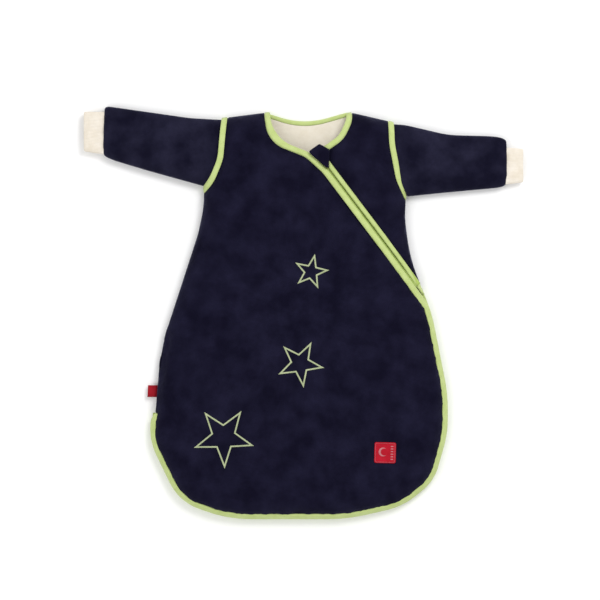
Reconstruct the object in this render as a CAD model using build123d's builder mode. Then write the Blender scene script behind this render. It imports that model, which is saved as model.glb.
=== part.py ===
"""Baby sleeping bag with long sleeves, lying flat on its back.

X runs across the bag, Y from the hem to the neck, Z up from the surface it lies on. Millimetres.
Velour outside, wadding between, jersey lining inside. A zip runs from the neck across the chest,
down the side seam and round the hem, so that the whole front opens like a page.
"""
from build123d import *
import math
import os

os.makedirs("parts", exist_ok=True)

# ---------------------------------------------------------------- cloth
velour = 2.0
wadding = 4.0
lining = 1.0
cloth = velour + wadding + lining
binding_proud = 0.8

# ---------------------------------------------------------------- heights
back_top = cloth
zip_gap_top = 11.0
front_top = 34.0
sleeve_top = 30.0
sleeve_wall = 3.0

# Puffed edge of the front and of a sleeve: (inset from the outline, height).
front_profile = [(0, back_top), (0, 14), (6, 26), (18, front_top), (60, front_top)]
sleeve_profile = [(0, 0), (0, 12), (5, 22), (16, sleeve_top), (60, sleeve_top)]

# ---------------------------------------------------------------- outlines: x, y, corner radius
body = [
    (-230, -184, 90),
    (-184, -279.2, 79),
    (-110, -304.5, 200),
    (64, -304.5, 270),
    (147.2, -286.2, 110),
    (193.8, -248.6, 71),
    (213.5, -177, 160),
    (213, -118, 220),
    (190, -2, 250),
    (158, 82, 250),
    (150, 140, 150),
    (158, 277, 0),
    (72, 297, 0),
    (-58, 297, 0),
    (-158, 284, 0),
    (-146, 166, 150),
    (-156, 118, 150),
    (-205.5, -34, 200),
    (-215.5, -100, 300),
]
sleeve_left = [
    (-60, 180, 0),
    (-60, 283, 0),
    (-168, 289, 200),
    (-350, 315, 0),
    (-350, 256, 0),
    (-280, 226, 100),
    (-230, 211, 100),
    (-147, 188, 60),
]
sleeve_right = [
    (70, 168, 0),
    (155, 173, 100),
    (214, 179, 300),
    (290, 186, 60),
    (350, 205, 0),
    (350, 246, 0),
    (284, 262, 100),
    (214, 264, 150),
    (150, 279, 100),
    (70, 283, 0),
]
sleeve_end_left = [(-293, 340, 0), (-298, 190, 0)]
sleeve_end_right = [(300, 300, 0), (301, 150, 0)]

# ---------------------------------------------------------------- seams and edges: open paths
neck_and_zip = [(-52.5, 330, 0), (-42, 259.5, 53), (8.8, 239.5, 25), (35.7, 215, 60), (193.7, 6, 0)]
zip_line = [(-0.3, 262.6, 0), (193.7, 6, 0)]
neck_right = [(63, 330, 0), (63, 286, 40), (52, 262, 30), (30, 246.5, 0)]
neck_back = [(-95, 304, 0), (-52, 296, 30), (0, 279.5, 120), (62, 297, 30), (110, 304, 0)]
armhole_right = [(124, 330, 0), (126, 250, 120), (137, 196, 60), (172, 126, 0)]
armhole_left = [(-109, 330, 0), (-118.5, 226, 60), (-133, 192, 60), (-178, 147, 0)]
fold_top = (-47, 286)
fold_bottom = (-222, -122)

# ---------------------------------------------------------------- widths
neck_width = 8.8
zip_width_right = 7.0
hem_width = 6.5
armhole_width = 8.5
back_neck_width = 6.5
slot_front = 1.9
slot_right = 1.1
gap = 0.35

# ---------------------------------------------------------------- sleeve joints
pivot_left = (-124, 238)
pivot_right = (134, 230)
lean_left = 170.8
lean_right = -3.8
head_radius = 49.7
sleeve_start = 50.3
sleeve_spread = 44.0

# ---------------------------------------------------------------- cuffs
cuff_wall = 1.8
cuff_low = 4.0
cuff_high = 18.0
cuff_roll = 5.0
bore_roll = 3.2

# ---------------------------------------------------------------- zip
tape = 1.0
coil = 1.6
slider_back = 13.0
slider_length = 14.0
slider_sides = (-5.3, 4.5)
slider_post = 0.7
pull_length = 16.0
pull_width = 4.6

hem_tape_back = (7.0, 8.2)
hem_coil_back = (8.2, 8.8)
hem_coil_front = (9.2, 9.8)
hem_tape_front = (9.8, 11.0)
hem_tape_inset = (1, 6)
hem_coil_inset = (2.5, 4.5)
slider_floor = 20.9
slider_plate = 1.4
slider_wall_top = 24.8
slider_post_top = 37.0
post_reach = 4.0
pull_low = 35.4
pull_thick = 1.4
pull_eye = (2.5, 6.5, 2.2, 4.0)

# ---------------------------------------------------------------- chin guard and side tag
guard_edge = 36.4
guard_tip = 240
guard_wall = 1.6
guard_foot = 26.2
guard_under = 38.6
guard_thick = 1.5
tag_at = (-224, -115.5)
tag_size = (13, 17)
tag_turn = -3
tag_low = 8.0
tag_thick = 1.6

# ---------------------------------------------------------------- decoration: x, y, radius, turn
stars = {
    "small": (11, 61, 25.5, 77.5),
    "medium": (-5, -74, 35.0, -81.8),
    "large": (-118, -182, 46.0, -88.2),
}
star_inner = 0.385
stitch_width = 2.5
stitch_height = 0.8
label_size = (32, 31)
label_at = (120, -205)
label_corner = 2.5
label_turn = -1.5
label_thick = 1.0

far = 460.0


# ---------------------------------------------------------------- drawing helpers
def unit(a, b):
    length = math.hypot(b[0] - a[0], b[1] - a[1])
    return ((b[0] - a[0]) / length, (b[1] - a[1]) / length)


def parallel(path, distance, closed=True):
    """The path moved to its left by a distance, with mitred corners and radii that follow."""
    count = len(path)
    moved = []
    for i, (x, y, r) in enumerate(path):
        first = not closed and i == 0
        last = not closed and i == count - 1
        ahead = unit(path[i], path[(i + 1) % count]) if not last else unit(path[i - 1], path[i])
        behind = unit(path[i - 1], path[i]) if not first else ahead
        na = (-ahead[1], ahead[0])
        nb = (-behind[1], behind[0])
        scale = distance / (1 + na[0] * nb[0] + na[1] * nb[1])
        turn = behind[0] * ahead[1] - behind[1] * ahead[0]
        radius = r if r == 0 else r - math.copysign(distance, turn)
        moved.append((x + scale * (na[0] + nb[0]), y + scale * (na[1] + nb[1]), radius))
    return moved


def corner(path, i):
    """Where the rounded corner starts, its middle and its end."""
    x, y, r = path[i]
    a = unit(path[i], path[i - 1])
    b = unit(path[i], path[(i + 1) % len(path)])
    half = math.acos(max(-1.0, min(1.0, a[0] * b[0] + a[1] * b[1]))) / 2
    run = r / math.tan(half)
    bisector = unit((0, 0), (a[0] + b[0], a[1] + b[1]))
    middle = r / math.sin(half) - r
    return (
        (x + a[0] * run, y + a[1] * run),
        (x + bisector[0] * middle, y + bisector[1] * middle),
        (x + b[0] * run, y + b[1] * run),
    )


def sheet(path, z=0.0):
    """A flat face with rounded corners at a height."""
    with BuildSketch(Plane.XY.offset(z)) as flat:
        with BuildLine():
            stops = []
            for i, (x, y, r) in enumerate(path):
                if r > 0:
                    start, middle, end = corner(path, i)
                    ThreePointArc(start, middle, end)
                    stops.append((start, end))
                else:
                    stops.append(((x, y), (x, y)))
            for i, (start, end) in enumerate(stops):
                Line(end, stops[(i + 1) % len(stops)][0])
        make_face()
    return flat.sketch


def prism(path, low=-5.0, high=60.0):
    with BuildPart() as block:
        add(sheet(path, low))
        extrude(amount=high - low)
    return block.part


def strip(path, near, away, low=-5.0, high=60.0):
    """The band between two lines parallel to an open path, as an upright block."""
    side = parallel(path, near, closed=False)
    other = parallel(path, away, closed=False)
    return prism(side + other[::-1], low, high)


def puff(path, profile, depth):
    """The solid under the cloth surface, a given depth below it."""
    rail = parallel([(x, z, 0) for x, z in profile], -depth, closed=False)
    with BuildPart() as solid:
        for inset, z, _ in rail[:-1]:
            add(sheet(parallel(path, inset), z))
        loft(ruled=True)
    return solid.part


def beyond(path, distance, corners):
    """Everything between a line parallel to an open path and some far corners."""
    return prism(parallel(path, distance, closed=False) + [(x, y, 0) for x, y in corners])


def past_zip(distance):
    """Everything on the right of the neck edge and the zip, moved toward the front flap."""
    return beyond(neck_and_zip, -distance, [(far, 6), (far, far), (-52.5, far)])


def combine(base, *cuts, keep=None):
    with BuildPart() as result:
        add(base)
        if keep is not None:
            add(keep, mode=Mode.INTERSECT)
        for cut in cuts:
            add(cut, mode=Mode.SUBTRACT)
    return result.part


def sector(center, radius, middle, spread):
    """A wedge from a point, open to one side, as an upright block."""
    low = math.radians(middle - spread)
    high = math.radians(middle + spread)
    along = math.radians(middle)
    return prism([
        (center[0], center[1], 0),
        (center[0] + radius * math.cos(low), center[1] + radius * math.sin(low), 0),
        (center[0] + 1.6 * radius * math.cos(along), center[1] + 1.6 * radius * math.sin(along), 0),
        (center[0] + radius * math.cos(high), center[1] + radius * math.sin(high), 0),
    ])


def disc(center, radius):
    with BuildPart() as block:
        with BuildSketch(Plane.XY.offset(-5)):
            with Locations(center):
                Circle(radius)
        extrude(amount=65)
    return block.part


# ---------------------------------------------------------------- plan regions
fold_way = unit(fold_top, fold_bottom)
fold_path = [
    (fold_top[0] - 60 * fold_way[0], fold_top[1] - 60 * fold_way[1], 0),
    (fold_bottom[0] + 240 * fold_way[0], fold_bottom[1] + 240 * fold_way[1], 0),
]
flap_side = strip(fold_path, gap, far + 260)
strip_side = strip(fold_path, -gap, -far)
opening_front = past_zip(slot_front)
opening_right = past_zip(-slot_right)
front_band_area = combine(past_zip(slot_front + neck_width), opening_front)
right_band_area = strip(zip_line, slot_right, slot_right + zip_width_right)
neck_right_area = strip(neck_right, 0, neck_width)
armhole_right_area = strip(armhole_right, 0, armhole_width)
armhole_left_area = strip(armhole_left, 0, -armhole_width)
past_armhole_right = beyond(armhole_right, armhole_width, [(far, 126), (far, 330)])
past_armhole_left = beyond(armhole_left, -armhole_width, [(-far, 147), (-far, 330)])
hem_ring = combine(prism(parallel(body, -2)), prism(parallel(body, hem_width)))
hem_span = prism([
    (-300, -122, 0),
    (-300, -400, 0),
    (300, -400, 0),
    (300, 35, 0),
    (100, 35, 0),
    (-150, -122, 0),
])
above_zip = prism([(-far, -far, 0), (far, -far, 0), (far, far, 0), (-far, far, 0)], zip_gap_top)
neck_hole = beyond(neck_right, 0, [(-90, 246.5), (-90, 330)])
zip_top_area = prism([(-20, 150, 0), (guard_edge, 150, 0), (guard_edge, 246.5, 0), (-20, 246.5, 0)])
right_of_zip_top = prism([(guard_edge, -20, 0), (far, -20, 0), (far, far, 0), (guard_edge, far, 0)])
below_zip_top = prism([(-far, -far, 0), (far, -far, 0), (far, 214, 0), (-far, 214, 0)])
above_neck_back = beyond(neck_back, 0, [(110, far), (-95, far)])
neck_back_area = strip(neck_back, 0, -back_neck_width)
under_cloth = puff(body, front_profile, cloth + binding_proud)
binding_shell = combine(puff(body, front_profile, -binding_proud), under_cloth)
back_block = prism(parallel(body, -binding_proud), 0, back_top)


def layers(z_low, z_high, depth_low, depth_high):
    """One layer of the back and the same layer of the front, over the whole bag."""
    back = prism(body, z_low, z_high)
    high = puff(body, front_profile, depth_low)
    low = puff(body, front_profile, depth_high)
    return back, combine(high, low)


velour_back, velour_front = layers(0, velour, 0, velour)
wadding_back, wadding_front = layers(velour, velour + wadding, velour, velour + wadding)
lining_back, lining_front = layers(velour + wadding, cloth, velour + wadding, cloth)

past_armholes = (past_armhole_right, past_armhole_left)
armhole_areas = (armhole_right_area, armhole_left_area)
hem_back_area = combine(hem_ring, keep=hem_span)


def back_panel(sheet_block):
    return combine(
        sheet_block,
        *past_armholes,
        *armhole_areas,
        above_neck_back,
        neck_back_area,
        hem_back_area,
    )


def flap_panel(shell):
    band = past_zip(slot_front + neck_width)
    return combine(combine(shell, band, hem_ring, keep=flap_side), keep=above_zip)


def side_panel(shell):
    band = past_zip(slot_front + neck_width)
    return combine(shell, band, past_armhole_left, armhole_left_area, keep=strip_side)


def right_panel(shell):
    cuts = (right_band_area, neck_hole, neck_right_area, zip_top_area)
    panel = combine(shell, *cuts, past_armhole_right, armhole_right_area, keep=opening_right)
    return panel.solids().sort_by(SortBy.VOLUME)[-1]


def named(solid, label):
    with BuildPart() as node:
        add(solid)
    node.part.label = label
    return node


# ================================================================ back of the bag
back_outer = named(back_panel(velour_back), "back_outer")
back_wadding = named(back_panel(wadding_back), "back_wadding")
back_lining = named(back_panel(lining_back), "back_lining")

with BuildPart() as hem_binding_back:
    add(combine(back_block, keep=hem_back_area))
hem_binding_back.part.label = "hem_binding_back"

with BuildPart() as neck_binding_back:
    add(combine(back_block, above_neck_back, keep=neck_back_area))
    add(combine(binding_shell, strip(fold_path, -gap, far), keep=front_band_area))
neck_binding_back.part.label = "neck_binding_back"

# ================================================================ fixed parts of the front
side_outer = named(side_panel(velour_front), "side_outer")
side_wadding = named(side_panel(wadding_front), "side_wadding")
side_lining = named(side_panel(lining_front), "side_lining")
right_outer = named(right_panel(velour_front), "right_outer")
right_wadding = named(right_panel(wadding_front), "right_wadding")
right_lining = named(right_panel(lining_front), "right_lining")

with BuildPart() as neck_binding_right:
    add(combine(binding_shell, keep=neck_right_area))
neck_binding_right.part.label = "neck_binding_right"

with BuildPart() as zip_binding_right:
    add(combine(combine(binding_shell, keep=right_band_area), keep=right_of_zip_top))
zip_binding_right.part.label = "zip_binding_right"

rings = {}
for side, area in (("right", armhole_right_area), ("left", armhole_left_area)):
    with BuildPart() as ring:
        add(combine(combine(binding_shell, keep=area), hem_span))
        add(combine(combine(back_block, keep=area), hem_span))
    rings[side] = ring.part
armhole_binding_right = named(rings["right"], "armhole_binding_right")
armhole_binding_left = named(rings["left"], "armhole_binding_left")

# Hood over the zip slider, folded out of the right panel.
guard_path = [(23.5, 251, 0), (guard_edge, guard_tip, 0), (guard_edge, 229, 0)]
guard_plan = [(8, 238, 0), (38, 212, 0), (guard_edge, 217, 0), (guard_edge, guard_tip, 0), (23.5, 251, 0)]
with BuildPart() as chin_guard:
    add(combine(prism(guard_plan, guard_under, guard_under + guard_thick), keep=past_zip(0)))
    add(combine(strip(guard_path, 0, -guard_wall, guard_foot, guard_under), neck_right_area))
chin_guard.part.label = "chin_guard"

with BuildPart() as side_tag:
    with BuildSketch(Plane.XY.offset(tag_low)):
        with Locations(tag_at):
            Rectangle(*tag_size, rotation=tag_turn)
    extrude(amount=tag_thick)
    add(puff(body, front_profile, 0), mode=Mode.SUBTRACT)
side_tag.part.label = "side_tag"

# ================================================================ front flap
front_outer = named(flap_panel(velour_front), "front_outer")
front_wadding = named(flap_panel(wadding_front), "front_wadding")
front_lining = named(flap_panel(lining_front), "front_lining")

with BuildPart() as front_binding:
    add(combine(combine(binding_shell, keep=front_band_area), keep=flap_side))
    add(above_zip, mode=Mode.INTERSECT)
front_binding.part.label = "front_binding"

with BuildPart() as hem_binding_front:
    add(combine(binding_shell, past_zip(slot_front + neck_width), keep=hem_ring))
    add(flap_side, mode=Mode.INTERSECT)
    add(above_zip, mode=Mode.INTERSECT)
hem_binding_front.part.label = "hem_binding_front"

# ================================================================ zip
tape_top = cloth + binding_proud
coil_top = tape_top + tape
tape_shell = combine(under_cloth, puff(body, front_profile, coil_top))
coil_shell = combine(puff(body, front_profile, coil_top), puff(body, front_profile, coil_top + coil))


def zip_half(shell, near, away):
    run = combine(shell, keep=strip(zip_line, near, away))
    return combine(run, keep=below_zip_top)


zip_tape_right = named(zip_half(tape_shell, slot_right, slot_right + zip_width_right), "zip_tape_right")
zip_coil_right = named(zip_half(coil_shell, slot_right, slot_right + coil), "zip_coil_right")
zip_tape_front = named(
    combine(zip_half(tape_shell, -slot_front, -slot_front - 8), keep=above_zip), "zip_tape_front"
)
zip_coil_front = named(
    combine(zip_half(coil_shell, -slot_front, -slot_front - coil), keep=above_zip), "zip_coil_front"
)


def hem_run(near, away, low, high):
    ring = combine(prism(parallel(body, near), low, high), prism(parallel(body, away)))
    return combine(combine(ring, keep=hem_span), opening_front)


tape_run_front = combine(hem_run(*hem_tape_inset, *hem_tape_front), keep=flap_side)
coil_run_front = combine(hem_run(*hem_coil_inset, *hem_coil_front), keep=flap_side)
zip_tape_hem_back = named(hem_run(*hem_tape_inset, *hem_tape_back), "zip_tape_hem_back")
zip_coil_hem_back = named(hem_run(*hem_coil_inset, *hem_coil_back), "zip_coil_hem_back")
zip_tape_hem_front = named(tape_run_front, "zip_tape_hem_front")
zip_coil_hem_front = named(coil_run_front, "zip_coil_hem_front")

along = unit(zip_line[0], zip_line[1])
zip_start = neck_and_zip[3]
slider_at = (zip_start[0] - along[0] * slider_back, zip_start[1] - along[1] * slider_back)


def slider_box(back, front, left, right, low, high):
    """A block beside the slider centre, measured along the zip and across it."""
    corners = []
    for a, c in ((back, left), (front, left), (front, right), (back, right)):
        corners.append((slider_at[0] + a * along[0] - c * along[1],
                        slider_at[1] + a * along[1] + c * along[0], 0))
    return prism(corners, low, high)


half = slider_length / 2
left_side, right_side = slider_sides
plate_top = slider_floor + slider_plate
with BuildPart() as zip_slider:
    add(slider_box(-half, half, left_side, right_side, slider_floor, plate_top))
    add(slider_box(-half, half, left_side, left_side + slider_plate, plate_top, slider_wall_top))
    add(slider_box(-half, half, right_side - slider_plate, right_side, plate_top, slider_wall_top))
    add(slider_box(-post_reach, post_reach, -slider_post, slider_post, plate_top, slider_post_top))
zip_slider.part.label = "zip_slider"

with BuildPart() as zip_pull:
    add(slider_box(-pull_length, 1, slider_post, slider_post + pull_width, pull_low, pull_low + pull_thick))
    eye_start, eye_end, eye_left, eye_right = pull_eye
    eye = (eye_start - pull_length, eye_end - pull_length, eye_left, eye_right)
    add(slider_box(*eye, pull_low - 1, pull_low + pull_thick + 1), mode=Mode.SUBTRACT)
zip_pull.part.label = "zip_pull"


# ================================================================ decoration on the flap
def star_path(size, turn):
    points = []
    for i in range(10):
        radius = size if i % 2 == 0 else size * star_inner
        angle = math.radians(turn + 36 * i)
        points.append((radius * math.cos(angle), radius * math.sin(angle), 0))
    return points


def star(x, y, size, turn):
    path = star_path(size, turn)
    outer = prism(parallel(path, -stitch_width / 2), front_top, front_top + stitch_height)
    with BuildPart() as figure:
        with Locations((x, y, 0)):
            add(combine(outer, prism(parallel(path, stitch_width / 2))))
    return figure.part


star_small = named(star(*stars["small"]), "star_small")
star_medium = named(star(*stars["medium"]), "star_medium")
star_large = named(star(*stars["large"]), "star_large")

with BuildPart() as woven_label:
    with BuildSketch(Plane.XY.offset(front_top)):
        with Locations(label_at):
            RectangleRounded(*label_size, label_corner, rotation=label_turn)
    extrude(amount=label_thick)
woven_label.part.label = "woven_label"


# ================================================================ sleeves
def raised(height):
    return prism([(-far, -far, 0), (far, -far, 0), (far, far, 0), (-far, far, 0)], height)


def tube(path, depth_out, depth_in):
    """One cloth layer of a sleeve lying flat."""
    outside = combine(puff(path, sleeve_profile, depth_out), keep=raised(depth_out))
    inside = combine(puff(path, sleeve_profile, depth_in), keep=raised(depth_in))
    return outside, inside


def before(end, back, toward):
    """Everything on the body side of a sleeve end, stopping a wall thickness short of it."""
    return beyond(end, -back * toward, [(0, end[1][1]), (0, end[0][1])])


sleeves = {
    "left": (sleeve_left, sleeve_end_left, -1, pivot_left, lean_left, past_armhole_left),
    "right": (sleeve_right, sleeve_end_right, 1, pivot_right, lean_right, past_armhole_right),
}
cuff_hole = {
    "left": [(-330, 242, 0), (-270, 242, 0), (-270, 292, 0), (-330, 292, 0)],
    "right": [(270, 200, 0), (330, 200, 0), (330, 237, 0), (270, 237, 0)],
}
pieces = {}
for side, (path, end, toward, pivot, lean, past_armhole) in sleeves.items():
    moving = combine(sector(pivot, 400, lean, sleeve_spread), disc(pivot, sleeve_start))
    head = combine(disc(pivot, head_radius), keep=past_armhole)
    hole = prism(cuff_hole[side], 7, 15)
    for name, depth_out, depth_in in (("sleeve", 0, velour), ("sleeve_lining", velour, sleeve_wall)):
        outside, inside = tube(path, depth_out, depth_in)
        shell = combine(
            combine(outside, keep=before(end, depth_out, toward)),
            combine(inside, keep=before(end, depth_in, toward)),
            hole,
        )
        pieces[name + "_" + side] = combine(shell, keep=moving)
        pieces[name + "_head_" + side] = combine(shell, keep=head)

sleeve_outer_left = named(pieces["sleeve_left"], "sleeve_outer_left")
sleeve_lining_left = named(pieces["sleeve_lining_left"], "sleeve_lining_left")
sleeve_head_left = named(pieces["sleeve_head_left"], "sleeve_head_left")
sleeve_head_lining_left = named(pieces["sleeve_lining_head_left"], "sleeve_head_lining_left")
sleeve_outer_right = named(pieces["sleeve_right"], "sleeve_outer_right")
sleeve_lining_right = named(pieces["sleeve_lining_right"], "sleeve_lining_right")
sleeve_head_right = named(pieces["sleeve_head_right"], "sleeve_head_right")
sleeve_head_lining_right = named(pieces["sleeve_lining_head_right"], "sleeve_head_lining_right")

# ================================================================ cuffs
cuff_plan = {
    "left": [(-325, 240, 0), (-285, 234, 0), (-285, 298, 0), (-325, 298, 0)],
    "right": [(290, 190, 0), (325, 194, 0), (325, 243, 0), (290, 246, 0)],
}


def rounded_bar(path, low, high, radius):
    """An upright block whose four edges along X are rounded."""
    with BuildPart() as bar:
        add(prism(path, low, high))
        fillet([e for e in bar.edges() if e.length > 20 and abs(e.tangent_at(0.5).X) > 0.9], radius)
    return bar.part


cuffs = {}
for side, (path, end, toward, pivot, lean, past_armhole) in sleeves.items():
    (x_low, y_a, _), (x_high, y_b, _), (_, y_c, _), (_, y_d, _) = cuff_plan[side]
    bore = [
        (x_low - 10, y_a + cuff_wall, 0),
        (x_high + 10, y_b + cuff_wall, 0),
        (x_high + 10, y_c - cuff_wall, 0),
        (x_low - 10, y_d - cuff_wall, 0),
    ]
    cuffs[side] = combine(
        rounded_bar(cuff_plan[side], cuff_low, cuff_high, cuff_roll),
        rounded_bar(bore, cuff_low + cuff_wall, cuff_high - cuff_wall, bore_roll),
        before(end, 0, toward),
    )
cuff_left = named(cuffs["left"], "cuff_left")
cuff_right = named(cuffs["right"], "cuff_right")

# ================================================================ export
export_step(back_outer.part, "parts/back_outer.step")
export_step(back_wadding.part, "parts/back_wadding.step")
export_step(back_lining.part, "parts/back_lining.step")
export_step(hem_binding_back.part, "parts/hem_binding_back.step")
export_step(neck_binding_back.part, "parts/neck_binding_back.step")
export_step(side_outer.part, "parts/side_outer.step")
export_step(side_wadding.part, "parts/side_wadding.step")
export_step(side_lining.part, "parts/side_lining.step")
export_step(right_outer.part, "parts/right_outer.step")
export_step(right_wadding.part, "parts/right_wadding.step")
export_step(right_lining.part, "parts/right_lining.step")
export_step(neck_binding_right.part, "parts/neck_binding_right.step")
export_step(zip_binding_right.part, "parts/zip_binding_right.step")
export_step(armhole_binding_right.part, "parts/armhole_binding_right.step")
export_step(armhole_binding_left.part, "parts/armhole_binding_left.step")
export_step(chin_guard.part, "parts/chin_guard.step")
export_step(side_tag.part, "parts/side_tag.step")
export_step(front_outer.part, "parts/front_outer.step")
export_step(front_wadding.part, "parts/front_wadding.step")
export_step(front_lining.part, "parts/front_lining.step")
export_step(front_binding.part, "parts/front_binding.step")
export_step(hem_binding_front.part, "parts/hem_binding_front.step")
export_step(zip_tape_right.part, "parts/zip_tape_right.step")
export_step(zip_coil_right.part, "parts/zip_coil_right.step")
export_step(zip_tape_front.part, "parts/zip_tape_front.step")
export_step(zip_coil_front.part, "parts/zip_coil_front.step")
export_step(zip_tape_hem_back.part, "parts/zip_tape_hem_back.step")
export_step(zip_coil_hem_back.part, "parts/zip_coil_hem_back.step")
export_step(zip_tape_hem_front.part, "parts/zip_tape_hem_front.step")
export_step(zip_coil_hem_front.part, "parts/zip_coil_hem_front.step")
export_step(zip_slider.part, "parts/zip_slider.step")
export_step(zip_pull.part, "parts/zip_pull.step")
export_step(star_small.part, "parts/star_small.step")
export_step(star_medium.part, "parts/star_medium.step")
export_step(star_large.part, "parts/star_large.step")
export_step(woven_label.part, "parts/woven_label.step")
export_step(sleeve_outer_left.part, "parts/sleeve_outer_left.step")
export_step(sleeve_lining_left.part, "parts/sleeve_lining_left.step")
export_step(sleeve_head_left.part, "parts/sleeve_head_left.step")
export_step(sleeve_head_lining_left.part, "parts/sleeve_head_lining_left.step")
export_step(cuff_left.part, "parts/cuff_left.step")
export_step(sleeve_outer_right.part, "parts/sleeve_outer_right.step")
export_step(sleeve_lining_right.part, "parts/sleeve_lining_right.step")
export_step(sleeve_head_right.part, "parts/sleeve_head_right.step")
export_step(sleeve_head_lining_right.part, "parts/sleeve_head_lining_right.step")
export_step(cuff_right.part, "parts/cuff_right.step")
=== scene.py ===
"""Looks of the baby sleeping bag: padded velour, jersey lining, woven bindings, zip, stars and sleeves.

Lengths are in millimetres and become metres when a mesh is made. X runs across the bag, Y from the
hem to the neck, Z up from the floor. Outlines are the pattern's, as (x, y, corner radius).
"""
import math

import bmesh
import bpy
import numpy as np
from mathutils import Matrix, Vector, noise
from mathutils.bvhtree import BVHTree
from mathutils.geometry import delaunay_2d_cdt
from numpy.linalg import norm


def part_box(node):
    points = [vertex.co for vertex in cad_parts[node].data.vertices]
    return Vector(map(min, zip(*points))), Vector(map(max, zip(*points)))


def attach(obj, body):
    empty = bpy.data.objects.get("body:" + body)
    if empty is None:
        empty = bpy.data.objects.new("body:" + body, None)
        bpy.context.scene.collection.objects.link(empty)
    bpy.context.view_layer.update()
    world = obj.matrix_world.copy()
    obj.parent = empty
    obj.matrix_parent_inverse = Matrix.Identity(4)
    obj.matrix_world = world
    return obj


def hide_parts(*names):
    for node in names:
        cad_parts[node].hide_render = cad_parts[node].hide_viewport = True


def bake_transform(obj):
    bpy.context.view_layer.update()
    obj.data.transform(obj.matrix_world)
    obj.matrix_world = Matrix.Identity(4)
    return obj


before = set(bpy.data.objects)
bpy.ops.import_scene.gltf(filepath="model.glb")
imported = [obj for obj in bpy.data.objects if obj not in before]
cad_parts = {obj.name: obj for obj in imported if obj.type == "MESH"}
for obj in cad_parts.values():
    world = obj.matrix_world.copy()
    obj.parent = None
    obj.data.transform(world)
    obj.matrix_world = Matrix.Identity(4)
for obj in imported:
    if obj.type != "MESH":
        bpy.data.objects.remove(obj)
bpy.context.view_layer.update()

# ---------------- pattern outlines
body = [
    (-230, -184, 90),
    (-184, -279.2, 79),
    (-110, -304.5, 200),
    (64, -304.5, 270),
    (146.7, -285.8, 110),
    (193.0, -248.0, 71),
    (213.5, -177, 160),
    (213, -118, 220),
    (190, -2, 250),
    (158, 82, 250),
    (150, 140, 150),
    (158, 277, 0),
    (72, 297, 0),
    (-58, 297, 0),
    (-158, 284, 0),
    (-146, 166, 150),
    (-156, 118, 150),
    (-205.5, -34, 200),
    (-215.5, -100, 300),
]
right_side = (8, 9, 10, 11)
right_shoulder = (11, 12, 13)
left_shoulder = (14, 13, 12)
left_side = (0, 18, 17, 16, 15, 14)
hem = (9, 8, 7, 6, 5, 4, 3, 2, 1, 0, 18, 17)

neck_and_zip = [(-52.5, 330, 0), (-42, 259.5, 53), (8.8, 239.5, 25), (35.7, 215, 60), (193.7, 6, 0)]
zip_line = [(-0.3, 262.6, 0), (193.7, 6, 0)]
neck_right = [(63, 330, 0), (63, 286, 40), (52, 262, 30), (18, 238, 0)]
neck_back = [(-95, 304, 0), (-52, 296, 30), (0, 279.5, 120), (62, 297, 30), (110, 304, 0)]
armhole = {
    "left": [(-109, 330, 0), (-118.5, 226, 60), (-133, 192, 60), (-178, 147, 0)],
    "right": [(124, 330, 0), (126, 250, 120), (137, 196, 60), (172, 126, 0)],
}
hem_starts = [(230, 35, 0), (120, 35, 0)]
zip_ends = [(230, 29, 0), (120, 29, 0)]
hem_ends = [(-190, -148, 0), (-250, -148, 0)]
left_edge = [(-222, -190, 0), (-213.8, -80, 300)]

sleeve_low = {
    "left": [(-60, 180, 0), (-147, 188, 60), (-230, 211, 100), (-280, 226, 100), (-350, 256, 0)],
    "right": [(70, 168, 0), (155, 173, 100), (214, 179, 300), (290, 186, 60), (350, 205, 0)],
}
sleeve_high = {
    "left": [(-60, 283, 0), (-168, 289, 200), (-350, 315, 0)],
    "right": [(70, 283, 0), (150, 279, 100), (214, 264, 150), (284, 262, 100), (350, 246, 0)],
}
sleeve_end = {
    "left": [(-298, 190, 0), (-293, 340, 0)],
    "right": [(301, 150, 0), (300, 300, 0)],
}

# ---------------- widths and heights
neck_width = 8.8
zip_width = 6.2
hem_width = 6.5
hem_overhang = 1.0
armhole_width = 8.5
back_neck_width = 6.5
slot_front, slot_right = 1.9, 1.1

side_seam_z = 10.0
puff, puff_reach = 23.5, 36.0
crown, crown_reach = 1.8, 150.0
back_roll = 12.0
velour_thick = 2.0
cloth_thick = 6.5
lining_thick = 1.0
lining_inset = 2.0
seam_dip, seam_dip_reach = 3.2, 5
pucker, pucker_from, pucker_to = 0.7, 3, 14
grid = 4.0
station = 2.0
# How the front swells between its seams: spare cloth as a share, frames, and the furthest it moves.
spare_cloth = 0.02
wadding_pressure = 0.6
settle_frames = 20
settle_cap = 2.4

# Each star's middle, radius and the direction of its first point in degrees.
stars = {
    "small": (11, 61, 23.6, 77.5),
    "medium": (-5, -74, 32.6, -81.8),
    "large": (-117.5, -182, 43.2, -88.2),
}
star_inner = 0.405
stitch_width = 2.35
satin_pitch = 0.55


# ---------------- lines in plan
def unit(v):
    v = np.asarray(v, float)
    return v / np.maximum(norm(v, axis=-1, keepdims=True), 1e-12)


def moved(path, distance, closed=False):
    """The path moved to its left by a distance, with mitred corners and radii that follow."""
    count = len(path)
    place = np.array([p[:2] for p in path], float)
    result = []
    for i, (x, y, radius) in enumerate(path):
        has_next = closed or i < count - 1
        has_last = closed or i > 0
        ahead = unit(place[(i + 1) % count] - place[i]) if has_next else unit(place[i] - place[i - 1])
        behind = unit(place[i] - place[i - 1]) if has_last else ahead
        normals = np.array((-ahead[1] - behind[1], ahead[0] + behind[0]))
        shift = distance * normals / (1 + ahead @ behind)
        turn = behind[0] * ahead[1] - behind[1] * ahead[0]
        follows = radius - math.copysign(distance, turn) if radius else 0
        result.append((x + shift[0], y + shift[1], follows))
    return result


def picked(path, order):
    return [path[i] for i in order]


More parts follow.
